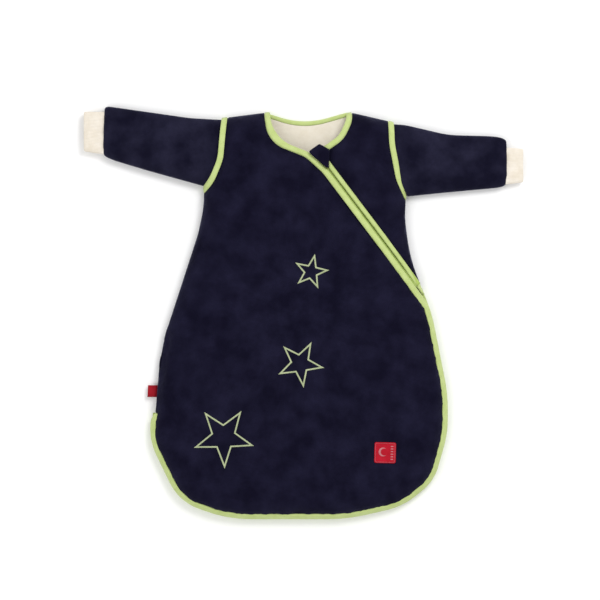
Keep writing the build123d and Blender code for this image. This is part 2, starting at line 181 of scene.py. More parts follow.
def even(points, step=grid, closed=False):
    """The same line with its points evenly apart."""
    if closed:
        points = np.vstack([points, points[:1]])
    run = np.r_[0, np.cumsum(norm(np.diff(points, axis=0), axis=1))]
    at = np.linspace(0, run[-1], max(3, round(run[-1] / step)) + 1)
    line = np.column_stack([np.interp(at, run, column) for column in points.T])
    return line[:-1] if closed else line


def trace(path, step=grid, closed=False):
    """Even points along a path with rounded corners."""
    count = len(path)
    pieces = []
    for i, (x, y, radius) in enumerate(path):
        at = np.array((x, y), float)
        if not radius or (not closed and i in (0, count - 1)):
            pieces.append(at[None])
            continue
        back = unit(np.array(path[i - 1][:2]) - at)
        ahead = unit(np.array(path[(i + 1) % count][:2]) - at)
        half = math.acos(back @ ahead) / 2
        centre = at + unit(back + ahead) * radius / math.sin(half)
        arm = at + back * radius / math.tan(half) - centre
        turn = math.copysign(math.pi - 2 * half, back[1] * ahead[0] - back[0] * ahead[1])
        angle = turn * np.linspace(0, 1, 25)[:, None]
        pieces.append(centre + np.cos(angle) * arm + np.sin(angle) * np.array((-arm[1], arm[0])))
    return even(np.vstack(pieces), step, closed)


def nearest(points, line, closed=False):
    """Distance from each point to a line, the nearest place on it, and how far along that is."""
    if closed:
        line = np.vstack([line, line[:1]])
    start, way = line[:-1], np.diff(line, axis=0)
    length = np.maximum(norm(way, axis=1), 1e-9)
    run = np.r_[0, np.cumsum(length)]
    found = []
    for block in np.array_split(points, len(points) // 2000 + 1):
        t = np.clip(((block[:, None] - start) * way).sum(2) / length**2, 0, 1)
        foot = start + t[..., None] * way
        gap = norm(block[:, None] - foot, axis=2)
        k = gap.argmin(1)
        rows = np.arange(len(block))
        found.append(np.column_stack([gap[rows, k], foot[rows, k], run[k] + t[rows, k] * length[k]]))
    found = np.vstack(found)
    return found[:, 0], found[:, 1:3], found[:, 3]


def crossing(a, b):
    """Where line a first crosses line b: the two segments and the point."""
    p, r, q, s = a[:-1, None], np.diff(a, axis=0)[:, None], b[None, :-1], np.diff(b, axis=0)[None]
    gap = q - p
    with np.errstate(divide="ignore", invalid="ignore"):
        across = r[..., 0] * s[..., 1] - r[..., 1] * s[..., 0]
        t = (gap[..., 0] * s[..., 1] - gap[..., 1] * s[..., 0]) / across
        u = (gap[..., 0] * r[..., 1] - gap[..., 1] * r[..., 0]) / across
        i, j = np.argwhere((t >= 0) & (t <= 1) & (u >= 0) & (u <= 1))[0]
    return i, j, (p[i, 0] + t[i, j] * r[i, 0])[None]


def join(*lines, closed=False):
    """One line out of several that cross in turn, each trimmed at its crossings."""
    count = len(lines)
    cuts = [crossing(lines[k], lines[(k + 1) % count]) for k in range(count if closed else count - 1)]
    result = []
    for k, line in enumerate(lines):
        first, last = 0, len(line)
        if closed or k > 0:
            first = cuts[k - 1][1] + 1
            result.append(cuts[k - 1][2])
        if closed or k < count - 1:
            last = cuts[k][0] + 1
        result.append(line[first:last])
    return np.vstack(result)


def between(line, start, end):
    """The stretch of a line from where it crosses one line to where it crosses another."""
    i, _, first = crossing(line, start)
    j, _, last = crossing(line, end)
    return np.vstack([first, line[i + 1:j + 1], last])


def inside(points, loop):
    a, b = loop, np.roll(loop, -1, axis=0)
    x, y = points[:, :1], points[:, 1:2]
    spans = (a[:, 1] > y) != (b[:, 1] > y)
    with np.errstate(divide="ignore", invalid="ignore"):
        cut = a[:, 0] + (y - a[:, 1]) * (b[:, 0] - a[:, 0]) / (b[:, 1] - a[:, 1])
        return (spans & (x < cut)).sum(1) % 2 == 1


# ---------------- seams and panel outlines
def outline(order, inset=0.0):
    return trace(picked(moved(body, inset, closed=True), order))


body_line = trace(body, closed=True)
front_seam = trace(moved(neck_and_zip, -slot_front - neck_width))
front_edge = trace(moved(neck_and_zip, -slot_front))
hem_seam = outline(hem, hem_width)
hem_edge = outline(hem, -hem_overhang)
zip_seam = trace(moved(zip_line, slot_right + zip_width))
zip_edge = trace(moved(zip_line, slot_right))
neck_seam = trace(moved(neck_right, neck_width))
neck_edge = trace(neck_right)
back_neck_seam = trace(moved(neck_back, -back_neck_width))
back_neck_edge = trace(neck_back)
armhole_line = {side: trace(path) for side, path in armhole.items()}
outward = {"left": -1, "right": 1}


def left_line(inset):
    """The left side down to where the hem binding comes out from under the edge."""
    return trace(moved(left_edge + picked(body, left_side[2:]), -inset))


def front_loop(inset):
    return join(
        front_seam, hem_seam, trace(hem_ends), left_line(inset),
        armhole_line["left"][::-1], outline(left_shoulder, inset), closed=True,
    )


def right_loop(inset):
    return join(
        neck_seam, zip_seam, outline(right_side, inset),
        armhole_line["right"][::-1], outline(right_shoulder, inset), closed=True,
    )


def back_loop(inset):
    return join(
        back_neck_seam, outline(right_shoulder[::-1], inset), armhole_line["right"],
        outline(right_side[::-1], inset), trace(hem_starts), hem_seam, trace(hem_ends),
        left_line(inset), armhole_line["left"][::-1], outline(left_shoulder, inset), closed=True,
    )


# ---------------- heights of the cloth
def level(z):
    """A height that is the same everywhere."""
    return lambda points: np.full(len(points), z)


def rise(distance, reach):
    """A quarter-round rise from 0 at the edge to 1 at the reach."""
    return np.sqrt(1 - (1 - np.clip(distance / reach, 0, 1)) ** 2)


def front_height(points):
    distance = nearest(points, body_line, closed=True)[0]
    return side_seam_z + puff * rise(distance, puff_reach) + crown * rise(distance, crown_reach)


def back_height(points):
    distance = nearest(points, body_line, closed=True)[0]
    return side_seam_z * (1 - rise(distance, back_roll))


def unevenness(points, size, seed):
    """Smooth noise over the plan, with lumps of a size."""
    return np.array([noise.noise(Vector((x / size, y / size, seed))) for x, y in points[:, :2]])


sewn = [join(front_seam, hem_seam), zip_seam, neck_seam, *armhole_line.values()]


def velour_relief(points):
    """Dips and puckers beside the bindings, and soft unevenness elsewhere."""
    total = 1.1 * unevenness(points, 85, 3.1) + 0.45 * unevenness(points, 32, 7.7)
    total *= rise(nearest(points, body_line, closed=True)[0], puff_reach)
    closest = np.full(len(points), np.inf)
    for line in sewn:
        distance, _, run = nearest(points, line)
        wave = np.sin(run / 4.3 + 2.1 * np.sin(run / 19) + 1.3 * np.sin(run / 47))
        total += pucker * wave * np.exp(-distance / pucker_to) * (1 - np.exp(-distance / pucker_from))
        closest = np.minimum(closest, distance)
    return total - seam_dip * np.exp(-((closest / seam_dip_reach) ** 2))


def velour_height(points):
    return front_height(points) + velour_relief(points)


def front_lining_height(points):
    return front_height(points) - cloth_thick + 0.8 * unevenness(points, 60, 1.7)


def back_velour_height(points):
    flat = np.maximum(0, unevenness(points, 70, 9.2))
    return back_height(points) + 0.5 * flat * rise(nearest(points, body_line, closed=True)[0], 40)


def back_lining_height(points):
    return back_height(points) + cloth_thick + 0.9 * unevenness(points, 75, 5.5)


# ---------------- materials
class Cloth:
    """A Principled surface whose colour drifts between two near tones; sizes are in metres."""

    def __init__(self, name, color, second, mottle_size, roughness, **sockets):
        self.material = bpy.data.materials.new(name)
        self.material.use_nodes = True
        self.nodes, self.links = self.material.node_tree.nodes, self.material.node_tree.links
        self.surface = self.nodes["Principled BSDF"].inputs
        self.surface["Roughness"].default_value = roughness
        for key, value in sockets.items():
            self.surface[key.replace("_", " ").title().replace("Ior", "IOR")].default_value = value
        self.place = self.nodes.new("ShaderNodeTexCoord").outputs["Object"]
        mottle = self.noise(mottle_size, 4)
        tones = self.nodes.new("ShaderNodeValToRGB")
        for element, at, tone in zip(tones.color_ramp.elements, (0.35, 0.68), (color, second)):
            element.position = at
            element.color = (*tone, 1)
        self.links.new(mottle, tones.inputs["Fac"])
        self.tones = tones.outputs["Color"]
        self.links.new(self.tones, self.surface["Base Color"])

    def made(self, kind, **values):
        node = self.nodes.new("ShaderNode" + kind)
        for key, value in values.items():
            node.inputs[key].default_value = value
        return node

    def noise(self, size, detail=2.0):
        texture = self.made("TexNoise", Scale=1 / size, Detail=detail)
        self.links.new(self.place, texture.inputs["Vector"])
        return texture.outputs["Fac"]

    def threads(self, period, axis):
        """Parallel threads a period apart; a wave texture at scale 1 repeats every pi / 10 metres."""
        texture = self.made("TexWave", Scale=math.pi / 10 / period, Distortion=1.5, Detail=1)
        texture.bands_direction = axis
        self.links.new(self.place, texture.inputs["Vector"])
        return texture.outputs["Fac"]

    def together(self, a, b, operation):
        mix = self.made("Math")
        mix.operation = operation
        self.links.new(a, mix.inputs[0])
        self.links.new(b, mix.inputs[1])
        return mix.outputs["Value"]

    def bump(self, height, depth, strength):
        node = self.made("Bump", Strength=strength, Distance=depth)
        self.links.new(height, node.inputs["Height"])
        self.links.new(node.outputs["Normal"], self.surface["Normal"])

    def paint_hollow_shade(self, height, shade):
        """Darkens the colour in the hollows of a weave: painted shade."""
        mix = self.made("Mix")
        mix.data_type = "RGBA"
        mix.blend_type = "MULTIPLY"
        mix.inputs["Factor"].default_value = shade
        self.links.new(self.tones, mix.inputs["A"])
        self.links.new(height, mix.inputs["B"])
        self.links.new(mix.outputs["Result"], self.surface["Base Color"])


def velour_material(name, dark, light, sheen):
    """Short pile whose tone drifts where the nap lies another way; the sleeves' lighter copy also paints
    sheen.
    """
    cloth = Cloth(
        name, dark, light, 0.035, 0.92, sheen_weight=sheen, sheen_roughness=0.38,
        sheen_tint=(0.34, 0.36, 0.66, 1), specular_ior_level=0.10,
    )
    pile = cloth.together(cloth.noise(0.0011), cloth.noise(0.0045), "ADD")
    # painted shade in the hollows of the pile
    cloth.paint_hollow_shade(pile, 0.35)
    cloth.bump(pile, 0.0009, 0.55)
    return cloth.material


def woven_material(name, color, second, period, depth, roughness, **sockets):
    """Threads both ways, a period apart."""
    cloth = Cloth(name, color, second, 0.012, roughness, **sockets)
    threads = cloth.together(cloth.threads(period, "X"), cloth.threads(period, "Y"), "ADD")
    weave = cloth.together(threads, cloth.noise(period * 3), "MULTIPLY")
    # painted shade in the hollows between the threads
    cloth.paint_hollow_shade(threads, 0.16)
    cloth.bump(weave, depth, 0.7)
    return cloth.material


def metal_material(name, color, second):
    """Painted metal with a thin coat."""
    cloth = Cloth(name, color, second, 0.004, 0.32, metallic=0.25, coat_weight=0.4, coat_roughness=0.2)
    cloth.bump(cloth.noise(0.0008), 0.0001, 0.3)
    return cloth.material


lime, lime_light = (0.47, 0.57, 0.19), (0.53, 0.63, 0.24)
olive, olive_light = (0.36, 0.47, 0.10), (0.42, 0.54, 0.13)
cream, cream_light, cuff_light = (0.76, 0.69, 0.58), (0.81, 0.75, 0.65), (0.84, 0.78, 0.69)
thread, thread_light = (0.38, 0.44, 0.24), (0.47, 0.53, 0.30)
red, red_light = (0.38, 0.003, 0.014), (0.46, 0.006, 0.022)
tag_red, tag_red_light = (0.26, 0.003, 0.010), (0.34, 0.006, 0.016)
navy, navy_light = (0.0026, 0.0020, 0.0108), (0.0086, 0.0078, 0.0240)
# The sleeves' velour is a lighter copy of the body's with a wider drift: painted sheen for the light
# streaks on the sleeves, over the nap's own drift.
sleeve_sheen_navy, sleeve_sheen_navy_light = (0.0034, 0.0030, 0.0125), (0.0135, 0.0128, 0.0310)
pink, pink_light = (0.46, 0.13, 0.15), (0.54, 0.18, 0.20)

materials = {
    "velour": velour_material("velour", navy, navy_light, 0.16),
    "lining": woven_material("lining", cream, cream_light, 0.0012, 0.0003, 0.9, sheen_weight=0.1),
    "binding": woven_material("binding", lime, lime_light, 0.0010, 0.0003, 0.78, sheen_weight=0.15),
    "embroidery": woven_material(
        "embroidery", thread, thread_light, 0.0005, 0.0002, 0.5, sheen_weight=0.2
    ),
    "rib_knit": woven_material("rib_knit", cream, cuff_light, 0.0011, 0.0003, 0.9),
    "label_cloth": woven_material(
        "label_cloth", red, red_light, 0.0008, 0.0002, 0.7, specular_ior_level=0.15
    ),
    "tag_cloth": woven_material(
        "tag_cloth", tag_red, tag_red_light, 0.0008, 0.0002, 0.7, specular_ior_level=0.15
    ),
    "zip_tape": woven_material("zip_tape", olive, olive_light, 0.0009, 0.0002, 0.8),
    "zip_coil": woven_material("zip_coil", olive, lime, 0.003, 0.0001, 0.4, coat_weight=0.1),
    "zip_metal": metal_material("zip_metal", olive, olive_light),
}
sleeve_sheen_velour = velour_material("velour_sleeve_sheen", sleeve_sheen_navy, sleeve_sheen_navy_light, 0.24)
label_thread = woven_material("label_thread", pink, pink_light, 0.0006, 0.0002, 0.55)


# ---------------- meshes
binding_columns, binding_power = 18, 2.5
binding_proud = 0.8
stitch_at = 0.62
stitch_pitch = 3.9
stitch_size = (2.9, 0.75, 0.6)


def added(name, data):
    """A new object in the scene."""
    made = bpy.data.objects.new(name, data)
    bpy.context.scene.collection.objects.link(made)
    return made


def piece(name, points, faces, slot):
    """A named mesh with its material; closed surfaces face outward."""
    mesh = bpy.data.meshes.new(name)
    mesh.from_pydata((np.asarray(points) * 0.001).tolist(), [], faces)
    work = bmesh.new()
    work.from_mesh(mesh)
    bmesh.ops.recalc_face_normals(work, faces=work.faces)
    work.to_mesh(mesh)
    work.free()
    mesh.shade_smooth()
    mesh.materials.append(materials[slot])
    made = added(name, mesh)
    return made


def lifted(plan, z):
    """Points in plan given a height, or one each."""
    return np.column_stack([plan, np.broadcast_to(z, len(plan))])


def surface_normals(points, faces):
    """Area-weighted normals of a mesh of triangles or quads."""
    total = np.zeros_like(points)
    for size in {len(f) for f in faces}:
        corners = np.array([f for f in faces if len(f) == size])
        face = np.cross(points[corners[:, 1]] - points[corners[:, 0]],
                        points[corners[:, -1]] - points[corners[:, 0]])
        for column in corners.T:
            np.add.at(total, column, face)
    return unit(total)


def fill(loop, step, insets=(1.5, 4.0)):
    """A flat mesh inside a loop: points, triangles, and how many points are the loop's."""
    rim = even(loop, step, closed=True)
    way = unit(np.roll(rim, -1, axis=0) - np.roll(rim, 1, axis=0))
    signed = (rim[:, 0] * np.roll(rim[:, 1], -1) - np.roll(rim[:, 0], -1) * rim[:, 1]).sum()
    inward = np.column_stack([-way[:, 1], way[:, 0]]) * math.copysign(1, signed)
    rows = [rim]
    for inset in insets:
        ring = rim + inward * inset
        rows.append(ring[inside(ring, rim) & (nearest(ring, rim, closed=True)[0] > 0.9 * inset)])
    low, high = rim.min(0), rim.max(0)
    columns, lines = np.meshgrid(np.arange(low[0], high[0], step), np.arange(low[1], high[1], step))
    field = np.column_stack([columns.ravel(), lines.ravel()])
    field = field[inside(field, rim)]
    rows.append(field[nearest(field, rim, closed=True)[0] > insets[-1] + 0.6 * step])
    flat = [Vector(p) for p in np.vstack(rows)]
    points, _, faces, *_ = delaunay_2d_cdt(flat, [], [list(range(len(rim)))], 1, 1e-6)
    return np.array([p[:] for p in points]), [tuple(f) for f in faces], len(rim)


def closed_sheet(top, under, faces, rim):
    """A solid between a sheet and its underside, walled along the rim."""
    count = len(top)
    walls = [(i, (i + 1) % rim, (i + 1) % rim + count, i + count) for i in range(rim)]
    return np.vstack([top, under]), faces + [tuple(i + count for i in f[::-1]) for f in faces] + walls


def thickened(points, faces, rim, thickness):
    """A solid between a sheet and a second face a thickness below it."""
    return closed_sheet(points, points - surface_normals(points, faces) * thickness, faces, rim)


def settled(points, faces, rim):
    """Swells a sheet under its wadding with its sewn rim held, then keeps each point near its start."""
    mesh = bpy.data.meshes.new("settling")
    mesh.from_pydata((points * 0.001).tolist(), [], faces)
    sheet = added("settling", mesh)
    sheet.vertex_groups.new(name="sewn").add(list(range(rim)), 1.0, "REPLACE")
    cloth = sheet.modifiers.new("cloth", "CLOTH").settings
    cloth.quality = 6
    cloth.mass = 0.2
    cloth.bending_stiffness = 0.4
    cloth.tension_stiffness = cloth.compression_stiffness = 12
    cloth.shear_stiffness = 4
    cloth.shrink_min = -spare_cloth
    cloth.vertex_group_mass = "sewn"
    cloth.effector_weights.gravity = 0
    cloth.use_pressure = True
    cloth.uniform_pressure_force = wadding_pressure
    for frame_number in range(1, settle_frames + 1):
        bpy.context.scene.frame_set(frame_number)
    result = sheet.evaluated_get(bpy.context.evaluated_depsgraph_get()).to_mesh()
    found = np.empty(3 * len(points))
    result.vertices.foreach_get("co", found)
    shift = found.reshape(-1, 3) * 1000 - points
    bpy.data.objects.remove(sheet)
    bpy.context.scene.frame_set(1)
    length = np.maximum(norm(shift, axis=1, keepdims=True), 1e-9)
    return points + shift / length * settle_cap * np.tanh(length / settle_cap)


def panel(name, loop, height, thickness, slot, step=grid, padded=False):
    flat, faces, rim = fill(loop, step)
    points = lifted(flat, height(flat))
    if padded:
        points = settled(points, faces, rim)
    return piece(name, *thickened(points, faces, rim, thickness), slot)


def height_on(made, points, otherwise):
    """Height of the top of a piece above points in plan, or another height where it has none."""
    tree = BVHTree.FromObject(made, bpy.context.evaluated_depsgraph_get())
    down = Vector((0, 0, -1))
    hits = [tree.ray_cast(Vector((x * 0.001, y * 0.001, 0.1)), down)[0] for x, y in points[:, :2]]
    return np.array([hit.z * 1000 if hit else z for hit, z in zip(hits, otherwise)])


def ring_faces(rows, columns, loop=False):
    """Quads between rings of points, with a cap at each end unless the rings close on themselves."""
    faces = []
    for i in range(rows if loop else rows - 1):
        for j in range(columns):
            k = (j + 1) % columns
            a, b = i * columns, (i + 1) % rows * columns
            faces.append((a + j, a + k, b + k, b + j))
    if not loop:
        faces += [tuple(range(columns))[::-1], tuple(range((rows - 1) * columns, rows * columns))]
    return faces


def rounded_section(count, power):
    """A closed section between an ellipse and a box, one unit each way."""
    angle = np.linspace(0, 2 * math.pi, count, endpoint=False)
    wave = np.column_stack([np.cos(angle), np.sin(angle)])
    return np.sign(wave) * np.abs(wave) ** (2 / power)


def travel(line, closed=False):
    """The direction along a line at each of its points."""
    if closed:
        return unit(np.roll(line, -1, axis=0) - np.roll(line, 1, axis=0))
    return unit(np.gradient(line, axis=0))


def swept(middle, across, up, section, half_width, half_height):
    """A section carried along stations, scaled to half sizes that may differ at each station."""
    wide, high = (np.broadcast_to(half, len(middle))[:, None, None] for half in (half_width, half_height))
    sideways = across[:, None] * section[None, :, :1] * wide
    upward = up[:, None] * section[None, :, 1:] * high
    return (middle[:, None] + sideways + upward).reshape(-1, 3)


def upright(count):
    return np.tile((0.0, 0.0, 1.0), (count, 1))


def binding_frame(seam, edge, facing, closed):
    """Middle of a binding, the way across it and the way out of it, at each station."""
    middle = (seam + edge) / 2
    across = unit(edge - seam)
    out = unit(np.cross(across, travel(middle, closed)))
    extreme = (middle[:, 2] * facing).argmax()
    out *= math.copysign(1, out[extreme, 2] * facing)
    return middle, across, out


def binding(name, seam, edge, thick, facing=1, closed=False):
    """A folded strip of cloth between a seam line and an outer edge, both given in space."""
    middle, across, out = binding_frame(seam, edge, facing, closed)
    half = norm(edge - seam, axis=1) / 2
    run = np.arange(len(seam)) * station
    pull = 1 + 0.035 * np.sin(run / 2.9 + np.sin(run / 13)) + 0.02 * np.sin(run / 1.3)
    section = rounded_section(binding_columns, binding_power)
    thick = np.broadcast_to(thick, len(seam))
    centre = middle + out * (binding_proud - thick / 2)[:, None]
    points = swept(centre, across, out, section, half, thick * pull / 2)
    return piece(name, points, ring_faces(len(seam), binding_columns, closed), "binding")


def beads(name, middle, along, up, size, slot):
    """Small rounded lozenges, such as stitches and zip teeth: size is along, across and up."""
    belt = rounded_section(8, 3.0)
    shape = [(-1, 0, 0)]
    for x, scale in ((-0.8, 0.62), (0, 1.0), (0.8, 0.62)):
        shape += [(x, y * scale, z * scale) for y, z in belt]
    shape = np.array(shape + [(1, 0, 0)]) * np.array(size) / 2
    faces = [(0, 1 + (j + 1) % 8, 1 + j) for j in range(8)]
    for i in range(2):
        for j in range(8):
            k = (j + 1) % 8
            faces.append((1 + i * 8 + j, 1 + i * 8 + k, 9 + i * 8 + k, 9 + i * 8 + j))
    faces += [(25, 17 + j, 17 + (j + 1) % 8) for j in range(8)]
    side = unit(np.cross(up, along))
    lift = unit(np.cross(along, side))
    points = (
        middle[:, None]
        + along[:, None] * shape[None, :, :1]
        + side[:, None] * shape[None, :, 1:2]
        + lift[:, None] * shape[None, :, 2:]
    )
    all_faces = [tuple(i + 26 * k for i in f) for k in range(len(middle)) for f in faces]
    return piece(name, points.reshape(-1, 3), all_faces, slot)


def stitches(name, seam, edge, thick, facing=1, closed=False):
    """A line of top stitching near the seam side of a binding, on its rounded top."""
    middle, across, out = binding_frame(seam, edge, facing, closed)
    half = norm(edge - seam, axis=1) / 2
    drop = 0.5 * (1 - (1 - stitch_at**binding_power) ** (1 / binding_power))
    height = binding_proud - np.broadcast_to(thick, len(seam)) * drop
    line = middle - across * (stitch_at * half)[:, None] + out * height[:, None]
    places = even(np.hstack([line, out]), stitch_pitch, closed)
    along = travel(places[:, :3], closed)
    return beads(name, places[:, :3], along, unit(places[:, 3:]), stitch_size, "binding")


def rails(seam, edge, seam_height, edge_height):
    """Stations along a seam, each with the nearest place on the edge line, lifted to their heights."""
    seam = even(seam, station)
    foot = nearest(seam, edge)[1]
    return lifted(seam, seam_height(seam)), lifted(foot, edge_height(foot))


def metres(x, y, z=0.0):
    return (x * 0.001, y * 0.001, z * 0.001)


def on_flap(*pieces):
    """Bakes each piece's placement into its mesh."""
    for made in pieces:
        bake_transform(made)


def on_sleeve(side, *pieces):
    for made in pieces:
        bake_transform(made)


def stands_for(node, made, body):
    """A rigid piece in place of one CAD node."""
    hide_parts(node)
    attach(made, body)


# ---------------- panels of the bag
def lined(part, loop, heights, thickness, outer_nodes, lining_nodes, lining_step, soft):
    """A padded velour panel and the jersey that lines it."""
    velour = panel(part + "_velour", loop(0), heights[0], thickness, "velour", padded=soft)
    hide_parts(*outer_nodes)
    shape = loop(lining_inset)
    jersey = panel(part + "_jersey", shape, heights[1], lining_thick, "lining", lining_step)
    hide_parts(*lining_nodes)
    return velour, jersey


front_heights = velour_height, front_lining_height
front_nodes = ["front_outer", "front_wadding", "side_outer", "side_wadding"]
front_panels = lined(
    "front", front_loop, front_heights, velour_thick,
    front_nodes, ["front_lining", "side_lining"], 6.0, True,
)
front_velour = front_panels[0]
on_flap(*front_panels)
fixed_panels = lined(
    "right", right_loop, front_heights, velour_thick,
    ["right_outer", "right_wadding"], ["right_lining"], 6.0, True,
) + lined(
    "back", back_loop, (back_velour_height, back_lining_height), -velour_thick,
    ["back_outer", "back_wadding"], ["back_lining"], 5.0, False,
)
for made in fixed_panels:
    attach(made, "root")

# ---------------- bindings
hem_front_edge_z = 12.6
hem_back_seam_z, hem_back_edge_z = 1.4, 6.4
binding_thick, zip_thick = 7.4, 4.8
back_neck_thick, hem_back_thick, armhole_thick = 6.4, 4.2, 3.4
edge_drop = 1.0
hem_from_y, hem_change, hem_reach = 20, 30, 12
neck_from_y, neck_change = 205, 25
back_neck_z, back_neck_rise, back_neck_half = 6.6, 2.5, 62
armhole_front_drop, armhole_back_lift = 0.6, 0.9


def rolled_height(points):
    return front_height(points) - edge_drop


def hem_share(points):
    """0 along the neck and the zip, 1 along the hem."""
    t = np.clip((hem_from_y - points[:, 1]) / hem_change + 0.5, 0, 1)
    near_outline = 1 - np.clip(nearest(points, hem_edge)[0] / hem_reach, 0, 1)
    return t * t * (3 - 2 * t) * np.clip(near_outline * 2, 0, 1)


def flap_thickness(points):
    """Thick round the neck, thin beside the zip and round the hem."""
    neck = np.clip((points[:, 1] - neck_from_y) / neck_change, 0, 1)
    return zip_thick + (binding_thick - zip_thick) * neck


def flap_edge_height(points):
    share = hem_share(points)
    return (1 - share) * rolled_height(points) + share * hem_front_edge_z


shoulder_cut = trace([(-120, 296.4, 0), (130, 296.4, 0)])
taper_length = 11.0


def tapered(seam, edge):
    """Narrows a binding where it comes out from under the left edge."""
    share = np.clip((hem_ends[0][1] - seam[:, 1]) / taper_length, 0, 1) ** 0.6
    share[(seam[:, 0] > 0) | (seam[:, 1] > 0)] = 1
    return seam, seam + (edge - seam) * (0.25 + 0.75 * share)[:, None]


flap_seam_line = between(join(front_seam, hem_seam), shoulder_cut, trace(hem_ends))
flap_edge_line = join(front_edge, hem_edge)
seam, edge = tapered(*rails(flap_seam_line, flap_edge_line, front_height, flap_edge_height))
thick = flap_thickness(edge[:, :2])
flap_binding = binding("flap_binding", seam, edge, thick)
flap_stitches = stitches("flap_stitches", seam, edge, thick)
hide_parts("front_binding", "hem_binding_front")
on_flap(flap_binding, flap_stitches)


def fixed_binding(name, node, seam, edge, thick, **options):
    """A binding that stays with the body, and its top stitching."""
    strip = binding(name, seam, edge, thick, **options)
    thread = stitches(name + "_stitches", seam, edge, thick, **options)
    stands_for(node, strip, "root")
    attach(thread, "root")


zip_seam_line = join(zip_seam, outline(right_side[::-1]))
zip_seam_line = between(zip_seam_line, trace([(20, 235, 0), (60, 235, 0)]), trace(zip_ends))
seam, edge = rails(zip_seam_line, zip_edge, front_height, rolled_height)
fixed_binding("zip_binding", "zip_binding_right", seam, edge, zip_thick)

neck_seam_line = between(neck_seam, shoulder_cut, trace([(10, 238, 0), (60, 238, 0)]))
seam, edge = rails(neck_seam_line, neck_edge, front_height, rolled_height)
fixed_binding("neck_binding", "neck_binding_right", seam, edge, binding_thick)


def back_neck_height(points):
    """Rises from the middle of the neck to the shoulders."""
    return back_neck_z + back_neck_rise * np.clip(np.abs(points[:, 0]) / back_neck_half, 0, 1) ** 4


back_neck_line = between(back_neck_seam, front_seam, neck_seam)
seam, edge = rails(even(back_neck_line), back_neck_edge, back_neck_height, back_neck_height)
fixed_binding("back_neck_binding", "neck_binding_back", seam, edge, back_neck_thick)

hem_back_line = between(hem_seam, trace(hem_starts), trace(hem_ends))
seam, edge = tapered(*rails(hem_back_line, hem_edge, level(hem_back_seam_z), level(hem_back_edge_z)))
fixed_binding("hem_back_binding", "hem_binding_back", seam, edge, hem_back_thick, facing=-1)


def along_line(line, fraction):
    """Points at fractions of a line's length."""
    run = np.r_[0, np.cumsum(norm(np.diff(line, axis=0), axis=1))]
    return np.column_stack([np.interp(fraction * run[-1], run, column) for column in line.T])


def armhole_ring(side):
    """Closed rails round the armhole, over the front and back under the bag."""
    top, bottom = {"left": (left_shoulder, left_side), "right": (right_shoulder, right_side)}[side]
    edges = [moved(armhole[side], width * outward[side]) for width in (0, armhole_width)]
    lines = [between(trace(path, station), outline(top), outline(bottom)) for path in edges]
    fraction = np.linspace(0, 1, len(lines[0]))
    rings = []
    for line in lines:
        line = along_line(line, fraction)
        front = lifted(line, front_height(line) - armhole_front_drop)
        back = lifted(line, back_height(line) + armhole_back_lift)[::-1]
        rings.append(even(np.vstack([front, back]), station, closed=True))
    length = max(len(r) for r in rings)
    return [along_line(np.vstack([r, r[:1]]), np.linspace(0, 1, length, endpoint=False)) for r in rings]


for side in ("left", "right"):
    rings = armhole_ring(side)
    fixed_binding("armhole_trim_" + side, "armhole_binding_" + side, *rings, armhole_thick, closed=True)

# ---------------- sleeves
sleeve_top_z = {"left": (29.0, 25.0), "right": (29.0, 24.0)}
sleeve_mid_z = 10.0
sleeve_floor_z = 0.4
sleeve_under_trim = 5
sleeve_rows, sleeve_columns = 64, 96
sleeve_lining_gap = 2.5
end_roll, end_gather = 9.0, 0.42
cuff_z = (4.0, 18.0)
# Folds of each sleeve: the line of the crest, its width and its height before scaling.
ridge_scale = 1.9
sleeve_ridges = {
    "left": [
        ([(-277, 236), (-263, 246), (-246, 251), (-218, 248)], 7, 2.2),
        ([(-282, 262), (-258, 274), (-228, 272)], 9, -1.6),
        ([(-236, 228), (-208, 224), (-186, 219)], 8, 1.2),
        ([(-205, 270), (-180, 262), (-160, 262)], 9, 0.9),
    ],
    "right": [
        ([(187, 264), (204, 245), (230, 231)], 6, 2.4),
        ([(181, 204), (204, 205), (234, 201)], 7, 1.9),
        ([(163, 268), (163, 245)], 7, 1.5),
        ([(262, 246), (276, 232), (288, 214)], 7, 1.2),
        ([(208, 222), (232, 215), (262, 222)], 8, -1.5),
    ],
}


def coons(start, end, low, high, s, t):
    """A patch in plan between an armhole line, a cuff line and the two edges of the arm."""
    first, last = along_line(start, s)[None], along_line(end, s)[None]
    under, over = along_line(low, t)[:, None], along_line(high, t)[:, None]
    s, t = s[None, :, None], t[:, None, None]
    corners = (
        (1 - s) * (1 - t) * start[0] + s * (1 - t) * start[-1] + (1 - s) * t * end[0] + s * t * end[-1]
    )
    return (1 - t) * first + t * last + (1 - s) * under + s * over - corners


